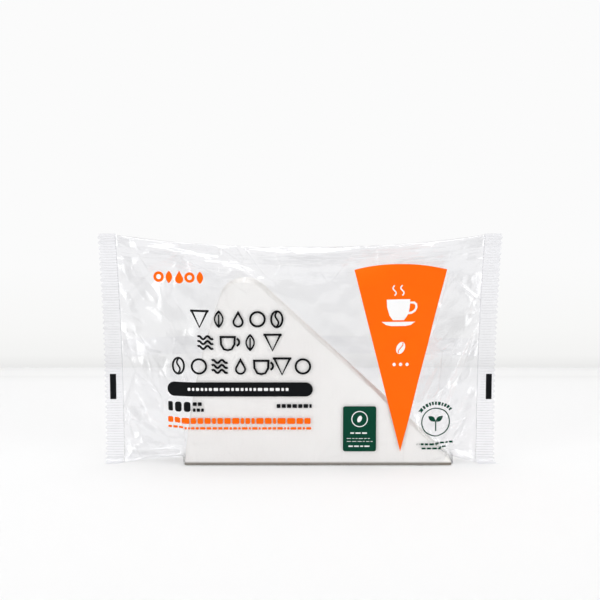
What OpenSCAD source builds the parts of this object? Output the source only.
// Retail pack of flat-folded paper cone filters, sealed in a clear film pouch.
// The pack stands on its long side. X runs along it, Y from front to back and Z up.
// The origin is the middle of the base. All sizes are in millimetres.

/* [Filters] */
// Number of filters in the stack
filter_count = 100; // [60:1:110]
// Opening angle of the brewing cone that the paper fits
cone_angle = 27.5; // [24:0.5:30]
// Length of the folded edge from the tip to the rim
fold_len = 150; // [130:1:165]
// Thickness of one ply of pressed crepe paper
ply_t = 0.09; // [0.08:0.005:0.13]
// Air left between the two plies of a folded filter
ply_gap = 0.03; // [0.02:0.005:0.05]
// Air left between neighbouring filters
sheet_gap = 0.01; // [0.005:0.005:0.03]
// Width of the crimped seam that joins the two plies
seam_w = 8; // [4:0.5:12]
// Width of the fold itself, where the plies turn into each other
fold_w = 0.6; // [0.4:0.1:1.2]
// Width of the blunt tip
tip_w = 1.6; // [1:0.1:4]
// Radius of the rim's long curve when the filter lies flat
rim_r = 370; // [300:5:500]
// Lean of the rim's curve where it meets the fold, in degrees
rim_lean = 4.5; // [2:0.5:8]
// Radius of the rounded corner between the rim and the seam
corner_r = 14; // [6:1:20]
// How far single filters slide out of line along the stack
shuffle = 0.6; // [0:0.1:1]

/* [Film pouch] */
// Thickness of the film
film_t = 0.15; // [0.1:0.01:0.25]
// Clearance between the stack and the film
stack_clear = 0.3; // [0.2:0.05:0.6]
// Film past the stack's outline that stays at full depth
edge_slack = 3; // [3:0.5:6]
// Film between the left end seal and the stack's rim
left_room = 36.8; // [24:0.2:50]
// Film between the stack's tip and the right end seal
right_room = 14.8; // [9:0.2:20]
// Film above the stack at the pouch's waist
head_room = 18.5; // [14:0.5:30]
// How much taller the end seals stand than the waist
end_rise = 7.5; // [3:0.5:10]
// How far the seals' top corners flare outwards
corner_flare = 3; // [2:0.5:8]
// Bevel along the lower edges
base_bevel = 0.5; // [0.3:0.1:1]
// Share of a point's distance from the stack by which an end seal draws the film in
end_pull = 0.32; // [0.2:0.01:0.4]
// Sharpness of the taper towards the end seals
end_taper = 1.5; // [1:0.05:2]
// How strongly the top ridge draws the film in, in millimetres
top_pull = 2.5; // [1.5:0.1:5]
// How much more strongly it does so over the stack's shoulder, in millimetres
shoulder_pull = 14; // [4:0.5:18]
// Length of the ridge on each side of the shoulder that pulls so strongly
shoulder_reach = 20; // [15:1:30]
// How strongly the lower edge draws the film in past the stack, in millimetres
base_pull = 8.5; // [0:0.5:10]

/* [Seals] */
// Width of an end seal
seal_w = 9.2; // [6:0.2:14]
// Spacing of the crimp's ribs
rib_pitch = 1.5; // [1.5:0.1:3]
// Height of the crimp's ribs
rib_h = 0.2; // [0.1:0.05:0.4]
// Spacing of the teeth on the cut edges
tooth_pitch = 3; // [2:0.5:5]
// Depth of the teeth on the cut edges
tooth_depth = 1.2; // [0.6:0.1:2]
// Width of the plain strip where the film comes together before an end seal
seal_land = 1; // [0.5:0.1:2]
// Width of the fin seal along the back
fin_w = 10; // [7:0.5:14]
// How far the folded fin stands off the back
fin_t = 0.5; // [0.3:0.05:0.8]
// Height of the fin seal's middle as a share of the pouch's height
fin_share = 0.5; // [0.4:0.01:0.6]

/* [Creases] */
// Height of the sharpest crease in the gathered ends
crease_h = 1.6; // [0.5:0.1:2.5]
// Width of a crease
crease_w = 2.8; // [2:0.1:4]
// Height of the crease along the shoulder of the top
shoulder_h = 0.6; // [0:0.1:1.5]
// Drop of the shoulder crease below the ridge at the waist
shoulder_drop = 8.5; // [5:0.5:12]

/* [Print] */
// Thickness of a printed field
ink_t = 0.12; // [0.08:0.01:0.2]
// Gap between a printed field and the film
ink_gap = 0.3; // [0.25:0.01:0.4]
// Film left bare between the orange sector's arc and the pouch's waist
sector_top = 8.9; // [6:0.1:30]
// Opening angle of the orange sector
sector_angle = 28.6; // [20:0.1:34]
// Distance of the sector's tip from the right end seal
sector_in = 45; // [40:0.5:50]
// Height of the sector's tip
sector_z = 8.4; // [8:0.2:16]
// Length of the black title bar
bar_len = 81; // [50:1:90]
// Height of the black title bar
bar_h = 8; // [5:0.1:10]
// Distance of the title bar from the left end seal
bar_in = 26.9; // [20:0.1:32]
// Height of the title bar's middle
bar_z = 43.7; // [40:0.1:50]
// Width of the green label
label_w = 18.5; // [14:0.1:22]
// Height of the green label
label_h = 25.7; // [18:0.1:28]
// Distance of the green label's middle from the right end seal
label_in = 67.6; // [62:0.2:72]
// Height of the green label's middle
label_z = 21.3; // [20:0.1:26]
// Outer radius of the green ring
ring_r = 8.3; // [6:0.1:9]
// Line width of the green ring
ring_w = 0.7; // [0.5:0.1:1.2]
// Distance of the ring's middle from the right end seal
ring_in = 24.9; // [20:0.1:30]
// Height of the ring's middle
ring_z = 24.4; // [22:0.1:30]
// Width of the white cup on the orange sector
cup_w = 17; // [10:0.5:20]
// Height of the white cup on the orange sector
cup_h = 15; // [8:0.5:18]
// Gap between the cup and the orange field behind it
cup_gap = 0.1; // [0.05:0.01:0.2]
// Distance from the sector's arc down to the cup's rim
cup_drop = 18; // [12:1:40]
// Width of an eye mark on an end seal
mark_w = 3.3; // [2:0.1:5]
// Height of an eye mark on an end seal
mark_h = 14.6; // [8:0.2:18]
// Distance of an eye mark's middle from the seal's inner edge
mark_in = 6; // [4:0.1:6.5]
// Height of the eye marks' middle
mark_z = 42.9; // [40:0.1:60]

/* [Hidden] */

// A flat-folded cone is half of its developed sector
fan = 180 * sin(cone_angle / 2);
filter_t = 2 * ply_t + ply_gap;
filter_pitch = filter_t + sheet_gap;
stack_t = filter_count * filter_pitch - sheet_gap;

// Flat outline of one filter: the tip is at [0, 0], the fold runs along +X and the seam lies at the fan angle
rim_c = [fold_len - rim_r * cos(rim_lean), -rim_r * sin(rim_lean)];
seam_dir = [cos(fan), sin(fan)];
seam_in = [sin(fan), -cos(fan)];
corner_w = corner_r * seam_in - rim_c;
corner_p = -seam_dir * corner_w
    + sqrt(pow(seam_dir * corner_w, 2) - corner_w * corner_w + pow(rim_r - corner_r, 2));
corner_c = corner_p * seam_dir + corner_r * seam_in;
filter_h = corner_c[1] + corner_r;

// Main places of the pouch
stack_z = film_t + stack_clear;
half_t = stack_t / 2 + stack_clear + film_t;
seal_x = (left_room + fold_len + right_room) / 2;
tip_x = seal_x - right_room;
shoulder_x = tip_x - corner_c[0];
waist_h = stack_z + filter_h + head_room;
top_x = seal_x + corner_flare;
sector_x = seal_x - sector_in;
bar_x = bar_in + bar_len / 2 - seal_x;
label_x = seal_x - label_in;
ring_x = seal_x - ring_in;
seal_h = waist_h + end_rise;
flare_turn = 0.3;
rise_power = 2.3;

function flare(v) = corner_flare * pow((v - flare_turn) / (1 - flare_turn), 2);
function ridge_z(x) = waist_h + end_rise * pow(min(1, abs(x) / top_x), rise_power);

// How far a point of the pouch's side lies past the stack's outline, round its shoulder included.
// The film leaves the stack gently, so the first few millimetres count less.
soft_start = 2;
function past_stack(x, z) =
    let (p = [tip_x - x, z - stack_z],
         seam = corner_r - p * seam_in,
         rim = corner_r + norm(p - rim_c) - rim_r,
         shoulder = norm([max(0, seam), max(0, rim)]) + min(0, max(seam, rim)) - corner_r)
    let (past = max(0, max(shoulder, -p[0]) - edge_slack))
    past * past / (past + soft_start);

// Creases of the gathered ends. Each runs from [a, v] to [a, v]: a is the distance from the seal
// as a share of the left room, and v is the height as a share of the seal. The last is its strength.
left_creases = [
    [0.03, 0.87, 0.42, 0.71, 0.8], [0.13, 0.73, 0.22, 0.61, 1.0], [0.10, 0.58, 0.47, 0.35, 0.8],
    [0.07, 0.32, 0.43, 0.38, 0.5], [0.05, 0.22, 0.55, 0.12, 0.9], [0.10, 0.03, 0.55, 0.12, 0.8],
    [0.55, 0.12, 0.90, 0.05, 0.6]];
right_creases = [
    [0.12, 0.92, 0.06, 0.74, 0.7], [0.30, 0.75, 0.05, 0.66, 1.0], [0.05, 0.66, 0.27, 0.59, 0.7],
    [0.50, 0.31, 0.18, 0.38, 0.6], [0.06, 0.22, 0.10, 0.06, 0.8]];

function to_segment(p, a, b) =
    let (ab = b - a, t = max(0, min(1, (p - a) * ab / (ab * ab)))) norm(p - a - t * ab);
function crease_point(side, a, v) = [side * (seal_x + flare(v) - a * left_room), v * seal_h];
function crease_sum(p, side, list) =
    crease_h * max([for (c = list)
        c[4] * exp(-pow(to_segment(p, crease_point(side, c[0], c[1]), crease_point(side, c[2], c[3]))
                        / crease_w, 2))]);
function shoulder(x, z) =
    let (s = abs(x) / top_x, line = ridge_z(x) - shoulder_drop * (1 - s * s))
    shoulder_h * (1 - s * s) * exp(-pow((z - line) / crease_w, 2));
// Creases fade out where the film is pressed between the seal's jaws
function seal_fade(ex) = 1 - exp(-pow(ex / crease_w, 2));

// Half thickness of the pouch, seen from the front, at a height z on the station x. The film is at
// full depth over the stack. Past it the seals, the ridge and the lower edge each draw it in.
past_full = 5;
past_base = 10;
foot_w = 1;
function half_depth(x, z) =
    let (d = past_stack(x, z),
         ex = max(0, seal_x + flare(z / ridge_z(x)) - abs(x)),
         ez = max(0, ridge_z(x) - z),
         over_shoulder = exp(-pow((x - shoulder_x) / shoulder_reach, 2)),
         ends = pow(ex / (end_pull * d + ex + 0.001), end_taper),
         top = ez / ((top_pull + shoulder_pull * over_shoulder) * d / (d + past_full) + ez + 0.001),
         base = (z + foot_w) / (base_pull * d / (d + past_base) + z + foot_w))
    film_t + (half_t - film_t) * ends * top * base;
function front_depth(x, z) =
    let (ex = max(0, seal_x + flare(z / ridge_z(x)) - abs(x)))
    half_depth(x, z) + seal_fade(ex) * (shoulder(x, z)
        + (x < 0 ? crease_sum([x, z], -1, left_creases) : crease_sum([x, z], 1, right_creases)));
function back_depth(x, z) =
    let (ex = max(0, seal_x + flare(z / ridge_z(x)) - abs(x)))
    half_depth(x, z) + seal_fade(ex) * (shoulder(x, z)
        + (x < 0 ? crease_sum([x, z], -1, right_creases) : crease_sum([x, z], 1, left_creases)));

// Stations from seal to seal as shares of the half length, closer together in the gathered ends
end_steps = 11;
middle_steps = 22;
right_steps = 5;
left_end = -1 + left_room / seal_x;
right_end = 1 - right_room / seal_x;
function between(a, b, n) = [for (i = [0 : n - 1]) a + (b - a) * i / n];
cavity_end = 1 - seal_land / seal_x;
stations = concat([-1], between(-cavity_end, left_end, end_steps),
                  between(left_end, right_end, middle_steps),
                  between(right_end, cavity_end, right_steps), [cavity_end, 1]);
inner_stations = [for (s = stations) if (abs(s) < 1) s];

// Rows from the base to just under the ridge as shares of the height. The folded fin stands off the
// back between two of them.
row_count = 27;
fin_low = fin_share - fin_w / 2 / seal_h;
fin_high = fin_share + fin_w / 2 / seal_h;
fin_step = fin_t / seal_h;
even_rows = between(0, 1, row_count);
rows = concat([for (v = even_rows) if (v < fin_low - 2 * fin_step) v],
              [fin_low - fin_step, fin_low, fin_share, fin_high, fin_high + fin_step],
              [for (v = even_rows) if (v > fin_high + 2 * fin_step) v]);
function fin_lift(v) = v > fin_low - fin_step / 2 && v < fin_high + fin_step / 2 ? fin_t : 0;

function station_x(s, v) = s * (seal_x + flare(v) * s * s);
function row_z(top, v) = base_bevel + (top - base_bevel) * v;

// One ring of the pouch: up the front, over the ridge and down the back. The cavity is the same ring
// moved inwards by the film, without the fin.
function pouch_ring(s, inset = 0) =
    let (top = ridge_z(station_x(s, 1)), base_x = station_x(s, 0),
         front_foot = front_depth(base_x, 0), back_foot = back_depth(base_x, 0),
         cut = min(base_bevel, front_foot / 2, back_foot / 2) + inset / 2)
    concat(
        [[base_x, cut - front_foot, inset]],
        [for (v = rows)
            let (x = station_x(s, v), z = row_z(top, v)) [x, inset - front_depth(x, z), z]],
        [[station_x(s, 1), 0, top - 2 * inset]],
        [for (i = [len(rows) - 1 : -1 : 0])
            let (v = rows[i], x = station_x(s, v), z = row_z(top, v))
            [x, back_depth(x, z) - inset + (inset > 0 ? 0 : fin_lift(v)), z]],
        [[base_x, back_foot - cut, inset]]);

module loft(rings) {
    m = len(rings[0]);
    n = len(rings);
    half = (m - 1) / 2;
    end = (n - 1) * m;
    polyhedron(
        points = [for (ring = rings) for (p = ring) p],
        faces = concat(
            [for (i = [0 : n - 2]) for (j = [0 : m - 1])
                let (a = i * m + j, b = i * m + (j + 1) % m) [a, b, a + m]],
            [for (i = [0 : n - 2]) for (j = [0 : m - 1])
                let (a = i * m + j, b = i * m + (j + 1) % m) [b, b + m, a + m]],
            [for (j = [0 : half - 2]) [m - 1 - j, m - 2 - j, j + 1, j]],
            [for (j = [0 : half - 2]) [end + j, end + j + 1, end + m - 2 - j, end + m - 1 - j]],
            [[half + 1, half, half - 1], [end + half - 1, end + half, end + half + 1]]),
        convexity = 6);
}

module film_pouch() {
    color([0.93, 0.93, 0.95, 0.35]) difference() {
        loft([for (s = stations) pouch_ring(s)]);
        loft([for (s = inner_stations) pouch_ring(s, film_t)]);
    }
}

// An end seal starts on the tube's end line and ends in a row of teeth
module seal_outline() {
    teeth = floor(seal_h / tooth_pitch);
    polygon(concat(
        [[seal_x, 0]],
        [for (v = rows) [seal_x + flare(v), row_z(seal_h, v)]],
        [[top_x, seal_h]],
        [for (i = [teeth - 1 : -1 : 0]) for (p = [1, 0.5])
            let (v = (i + p) / teeth)
            [seal_x + flare(v) + seal_w - (p == 1 ? tooth_depth : 0), v * seal_h]],
        [[seal_x + seal_w - tooth_depth, 0]]));
}

module crimped_sheet() {
    ribs = floor(seal_h / rib_pitch);
    half_rib = seal_h / ribs / 2;
    function wave(i) = (i % 2 == 0 ? -rib_h : rib_h) / 2;
    polygon(concat(
        [for (i = [0 : 2 * ribs]) [wave(i) - film_t, i * half_rib]],
        [for (i = [2 * ribs : -1 : 0]) [wave(i) + film_t, i * half_rib]]));
}

module end_seal() {
    color([0.9, 0.9, 0.93, 0.5]) intersection() {
        rotate([90, 0, 0]) translate([0, 0, -half_t]) linear_extrude(2 * half_t) seal_outline();
        rotate([90, 0, 90]) linear_extrude(top_x + seal_w) crimped_sheet();
    }
}

module left_end_seal() {
    mirror([1, 0, 0]) end_seal();
}

module right_end_seal() {
    end_seal();
}

// The flat outline of one filter. The corner between rim and seam is rounded by taking away
// the kite outside the corner's circle.
far = fold_len + rim_r;
rim_out = (corner_c - rim_c) / norm(corner_c - rim_c);

module filter_outline() {
    difference() {
        intersection() {
            polygon([[tip_w / tan(fan), 0], [far, 0], far * seam_dir, tip_w / sin(fan) * seam_dir]);
            translate(rim_c) circle(r = rim_r, $fn = 720);
        }
        translate(corner_c) difference() {
            polygon([[0, 0], -2 * corner_r * seam_in, 3 * corner_r * (rim_out - seam_in),
                     2 * corner_r * rim_out]);
            circle(r = corner_r, $fn = 64);
        }
    }
}

// The mouth between the plies: shut along the fold and the crimped seam, open all along the rim
mouth_tip = [(seam_w + fold_w * cos(fan)) / sin(fan), fold_w];
module filter_mouth() {
    polygon([mouth_tip, [far, fold_w], mouth_tip + far * seam_dir]);
}

module paper_filter() {
    difference() {
        linear_extrude(filter_t) filter_outline();
        translate([0, 0, ply_t]) linear_extrude(ply_gap) filter_mouth();
    }
}

// The filters stand on their folds with the tips to the right, each a little out of line
module filter_stack() {
    color([0.96, 0.95, 0.92])
    for (i = [0 : filter_count - 1])
        translate([tip_x + shuffle * sin(i * 137.5), i * filter_pitch - stack_t / 2, stack_z])
            mirror([1, 0, 0]) rotate([90, 0, 0]) translate([0, 0, -filter_t]) paper_filter();
}

// Printed fields lie on the pouch's front as thin skins. A skin is given as rows of [x, z] points.
function ink_point(p, lift) = [p[0], -front_depth(p[0], p[1]) - ink_gap - lift, p[1]];

module ink_skin(grid, closed = false, lift = 0) {
    n = len(grid);
    m = len(grid[0]);
    k = n * m;
    last = closed ? n - 1 : n - 2;
    function at(i, j) = (i % n) * m + j;
    polyhedron(
        points = concat([for (row = grid) for (p = row) ink_point(p, lift + ink_t)],
                        [for (row = grid) for (p = row) ink_point(p, lift)]),
        faces = concat(
            [for (i = [0 : last]) for (j = [0 : m - 2]) [at(i, j), at(i, j + 1), at(i + 1, j)]],
            [for (i = [0 : last]) for (j = [0 : m - 2]) [at(i + 1, j), at(i, j + 1), at(i + 1, j + 1)]],
            [for (i = [0 : last]) for (j = [0 : m - 2]) [k + at(i + 1, j), k + at(i, j + 1), k + at(i, j)]],
            [for (i = [0 : last]) for (j = [0 : m - 2])
                [k + at(i + 1, j + 1), k + at(i, j + 1), k + at(i + 1, j)]],
            [for (i = [0 : last]) [at(i, 0), at(i + 1, 0), k + at(i + 1, 0), k + at(i, 0)]],
            [for (i = [0 : last])
                [at(i + 1, m - 1), at(i, m - 1), k + at(i, m - 1), k + at(i + 1, m - 1)]],
            closed ? [] : [for (j = [0 : m - 2]) [at(0, j + 1), at(0, j), k + at(0, j), k + at(0, j + 1)]],
            closed ? [] : [for (j = [0 : m - 2])
                [at(n - 1, j), at(n - 1, j + 1), k + at(n - 1, j + 1), k + at(n - 1, j)]]),
        convexity = 4);
}

function arc_row(c, a, radii) = [for (r = radii) [c[0] + r * sin(a), c[1] + r * cos(a)]];

sector_r = waist_h - sector_top - sector_z;
sector_tip_w = 1.5;

module orange_sector_print() {
    half = sector_angle / 2;
    radii = between(sector_tip_w, sector_r, 14);
    color([1, 0.42, 0]) ink_skin([for (a = between(-half, half + 0.001, 8))
        arc_row([sector_x, sector_z], a, concat(radii, [sector_r]))]);
}

// A plain cup as seen from the side: a tapered body, an ear and a saucer
cup_lift = ink_t + cup_gap;
function cup_row(t, lift) =
    let (half = cup_w * (0.26 + 0.1 * t))
    [for (u = [-1 : 0.25 : 1]) [sector_x - cup_w * 0.08 + half * u, lift + cup_h * (0.2 + 0.8 * t)]];

module white_cup_print() {
    foot_z = sector_z + sector_r - cup_drop - cup_h;
    ear_c = [sector_x + cup_w * 0.27, foot_z + cup_h * 0.64];
    ear_r = cup_h * 0.24;
    color([1, 1, 1]) {
        ink_skin([for (t = [1 : -0.25 : 0]) cup_row(t, foot_z)], lift = cup_lift);
        ink_skin([for (a = [15 : 10 : 165]) arc_row(ear_c, a, [ear_r * 0.55, ear_r])], lift = cup_lift);
        ink_skin([for (u = [-1 : 0.2 : 1]) [for (v = [0, 1])
            [sector_x - cup_w * 0.08 + cup_w / 2 * u, foot_z + cup_h * 0.12 * v]]], lift = cup_lift);
    }
}

module title_bar_print() {
    round_r = bar_h / 2;
    straight = bar_len / 2 - round_r;
    steps = concat([for (a = [0 : 15 : 75]) [straight + round_r * cos(a), round_r * sin(a)]],
                   [for (i = [6 : -1 : 0]) [straight * i / 6, round_r]]);
    ends = concat([[bar_len / 2 - 0.01, 0.15]], [for (i = [1 : len(steps) - 1]) steps[i]]);
    left = [for (e = ends) [-e[0], e[1]]];
    right = [for (i = [len(ends) - 2 : -1 : 0]) ends[i]];
    color([0.04, 0.05, 0.06]) ink_skin([for (e = concat(left, right))
        [for (v = [-1 : 0.5 : 1]) [bar_x + e[0], bar_z + e[1] * v]]]);
}

module green_label_print() {
    color([0, 0.31, 0.24]) ink_skin([for (u = [-1 : 0.25 : 1])
        [for (v = [-1 : 0.25 : 1]) [label_x + label_w / 2 * u, label_z + label_h / 2 * v]]]);
}

module green_ring_print() {
    color([0, 0.31, 0.24]) ink_skin([for (a = between(0, 360, 48))
        arc_row([ring_x, ring_z], a, [ring_r - ring_w, ring_r])], closed = true);
}

// Eye marks steer the cutter of the packing machine, so they lie on the end seals
module eye_mark_print() {
    front = film_t + rib_h / 2 + ink_gap;
    color([0.04, 0.05, 0.06])
        translate([seal_x + mark_in - mark_w / 2, -front - ink_t, mark_z - mark_h / 2])
            cube([mark_w, ink_t, mark_h]);
}

module left_eye_mark_print() {
    mirror([1, 0, 0]) eye_mark_print();
}

module right_eye_mark_print() {
    eye_mark_print();
}

film_pouch();
left_end_seal();
right_end_seal();
filter_stack();
orange_sector_print();
white_cup_print();
title_bar_print();
green_label_print();
green_ring_print();
left_eye_mark_print();
right_eye_mark_print();
